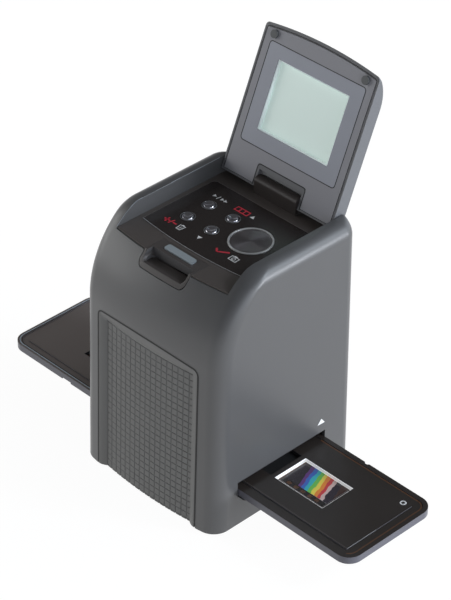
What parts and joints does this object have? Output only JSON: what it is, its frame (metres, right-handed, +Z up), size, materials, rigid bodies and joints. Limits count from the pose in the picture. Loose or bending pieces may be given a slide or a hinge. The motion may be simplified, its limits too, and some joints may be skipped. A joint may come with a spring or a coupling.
{
  "type": "film scanner",
  "caption": "Upright desktop scanner for 35 mm film strips: flip-up display, push buttons on a sunken deck, and a film holder that slides through the base.",
  "frame": {"origin": "on the optical axis, in the plane that the rubber feet stand on", "axes": "+X along the film holder, to the right of a person facing the front; +Z up; the front faces -Y"},
  "size_m": [0.2656, 0.1336, 0.228],
  "materials": {
    "shell": "satin",
    "grip": "matte",
    "cover": "matte",
    "deck": "satin",
    "gloss_black": "gloss",
    "pocket": "satin",
    "bright_trim": "polished",
    "keys": "satin",
    "bar": "satin",
    "bezel": "satin",
    "window": "satin",
    "screen": "gloss",
    "rubber": "matte",
    "steel": "satin",
    "brass": "satin",
    "board": "satin",
    "parts": "satin",
    "inner": "matte",
    "white": "matte",
    "diffuser": "matte",
    "lens": "gloss",
    "film": "gloss"
  },
  "bodies": {
    "housing": {"main_shell": "shell", "grip_panel": "grip", "rear_cover": "cover", "base_plate": "cover", "rubber_feet": "rubber", "base_screws": "steel", "rear_screws": "steel", "control_deck": "deck", "deck_screws": "steel", "control_fascia": "gloss_black", "finger_pocket": "pocket", "key_rings": "bright_trim", "ok_ring": "bright_trim", "button_board": "board", "board_screws": "steel", "tact_switches": "parts", "hinge_block": "deck", "hinge_bushes": "brass", "hinge_screws": "steel", "lower_guide": "inner", "upper_guide": "inner", "guide_screws": "steel", "detent_spring": "steel", "backlight_board": "board", "backlight_leds": "white", "light_box": "white", "light_diffuser": "diffuser", "light_baffle": "inner", "lens_bracket": "inner", "lens_barrel": "inner", "lens_elements": "lens", "sensor_posts": "brass", "sensor_board": "board", "image_sensor": "parts", "main_board": "board", "board_chips": "parts", "main_screws": "steel", "card_socket": "steel", "usb_socket": "steel", "av_jack": "parts"},
    "lid": {"lid_back_shell": "cover", "lid_bezel": "bezel", "screen_window": "window", "screen_gasket": "white", "lcd_panel": "screen", "lcd_board": "board", "lid_bumpers": "rubber", "lid_screws": "steel", "hinge_pin": "steel"},
    "film_holder": {"holder_base": "gloss_black", "holder_cover": "gloss_black", "cover_pins": "steel", "film_strip": "film"},
    "play_key": {"play_button": "keys"},
    "type_key": {"type_button": "keys"},
    "exposure_key": {"exposure_button": "keys"},
    "down_key": {"down_button": "keys"},
    "ok_key": {"ok_button": "keys"},
    "power_key": {"power_button": "bar"}
  },
  "joints": [
    {"name": "lid_hinge", "type": "hinge", "parent": "housing", "child": "lid", "pos_m": [0, 0.0479, 0.1491], "axis": [1, 0, 0], "range_deg": [0, 113.7]},
    {"name": "holder_slide", "type": "slide", "parent": "housing", "child": "film_holder", "axis": [1, 0, 0], "range_m": [-0.076, 0.076]},
    {"name": "play_press", "type": "slide", "parent": "housing", "child": "play_key", "axis": [0, 0, -1], "range_m": [0, 0.0006], "stiffness_N_per_m": 600, "springref_m": -0.0006},
    {"name": "type_press", "type": "slide", "parent": "housing", "child": "type_key", "axis": [0, 0, -1], "range_m": [0, 0.0006], "stiffness_N_per_m": 600, "springref_m": -0.0006},
    {"name": "exposure_press", "type": "slide", "parent": "housing", "child": "exposure_key", "axis": [0, 0, -1], "range_m": [0, 0.0006], "stiffness_N_per_m": 600, "springref_m": -0.0006},
    {"name": "down_press", "type": "slide", "parent": "housing", "child": "down_key", "axis": [0, 0, -1], "range_m": [0, 0.0006], "stiffness_N_per_m": 600, "springref_m": -0.0006},
    {"name": "ok_press", "type": "slide", "parent": "housing", "child": "ok_key", "axis": [0, 0, -1], "range_m": [0, 0.0006], "stiffness_N_per_m": 600, "springref_m": -0.0006},
    {"name": "power_press", "type": "slide", "parent": "housing", "child": "power_key", "axis": [0, 0, -1], "range_m": [0, 0.0006], "stiffness_N_per_m": 600, "springref_m": -0.0006}
  ]
}
